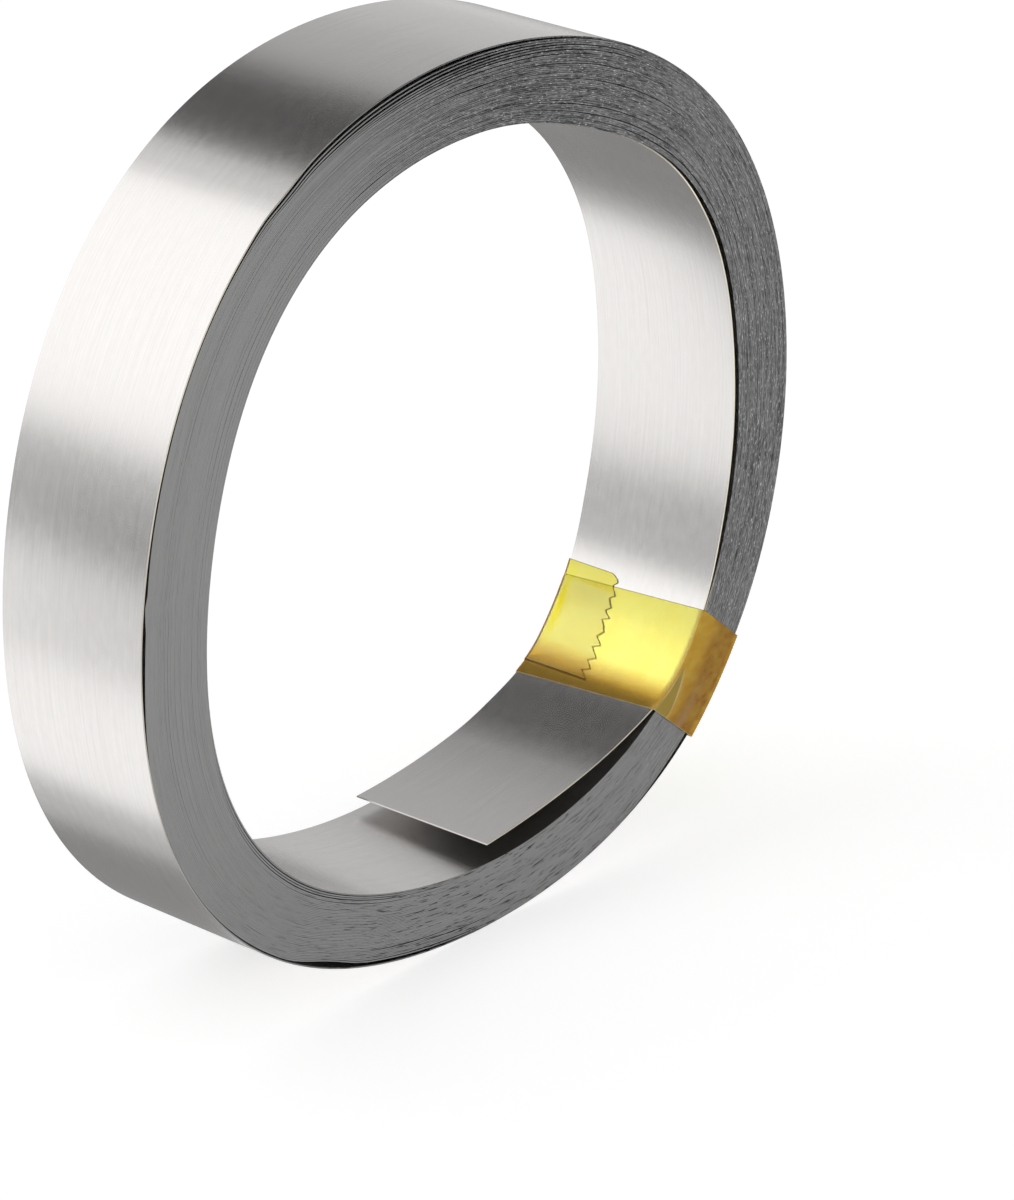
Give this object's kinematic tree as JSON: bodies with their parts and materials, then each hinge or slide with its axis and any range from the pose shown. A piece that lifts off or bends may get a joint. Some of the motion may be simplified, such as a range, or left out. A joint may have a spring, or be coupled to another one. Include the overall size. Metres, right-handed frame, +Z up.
{
  "type": "coil of nickel strip",
  "caption": "Coil of thin nickel strip for joining battery cells, held by one loop of film tape, with its inner end standing free in the bore.",
  "frame": {"origin": "on the floor under the middle of the coil, which stands on its rim", "axes": "+Y along the coil's axis, away from the near end; +Z up; +X across the coil, the tape lying towards +X low down"},
  "size_m": [0.0765, 0.0154, 0.0751],
  "materials": {
    "nickel": "satin cold-rolled nickel, grey slit edges",
    "film_tape": "glossy see-through amber film"
  },
  "bodies": {
    "root": {"nickel_strip": "nickel", "tape_band": "film_tape"}
  },
  "joints": []
}
